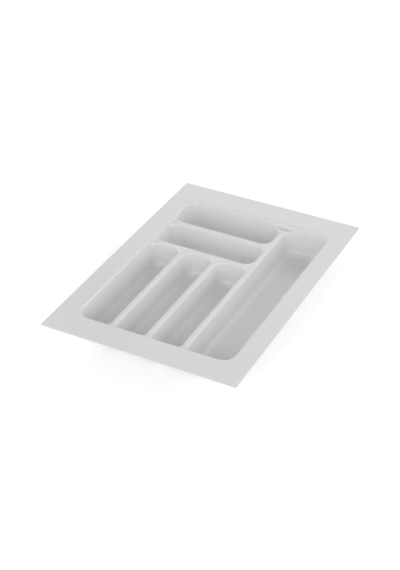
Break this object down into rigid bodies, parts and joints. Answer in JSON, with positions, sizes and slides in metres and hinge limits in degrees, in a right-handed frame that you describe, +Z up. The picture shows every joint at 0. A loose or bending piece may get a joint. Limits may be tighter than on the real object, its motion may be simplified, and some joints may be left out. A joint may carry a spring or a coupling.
{
  "type": "cutlery tray",
  "caption": "Shallow thermoformed drawer insert with a wide flat flange around rounded wells for cutlery and kitchen tools.",
  "frame": {"origin": "middle of the tray on the plane its wells stand on", "axes": "+X to the tray's right, +Y to its back, +Z up out of the wells"},
  "size_m": [0.34, 0.49, 0.052],
  "materials": {
    "tray_sheet": "glossy thermoformed sheet",
    "label": "matt film"
  },
  "bodies": {
    "root": {"narrow_well_left": "tray_sheet", "narrow_well_middle": "tray_sheet", "narrow_well_right": "tray_sheet", "cross_well_back": "tray_sheet", "cross_well_front": "tray_sheet", "wide_well": "tray_sheet", "flange_left": "tray_sheet", "flange_right": "tray_sheet", "flange_front": "tray_sheet", "flange_back": "tray_sheet", "blank_label": "label"}
  },
  "joints": []
}
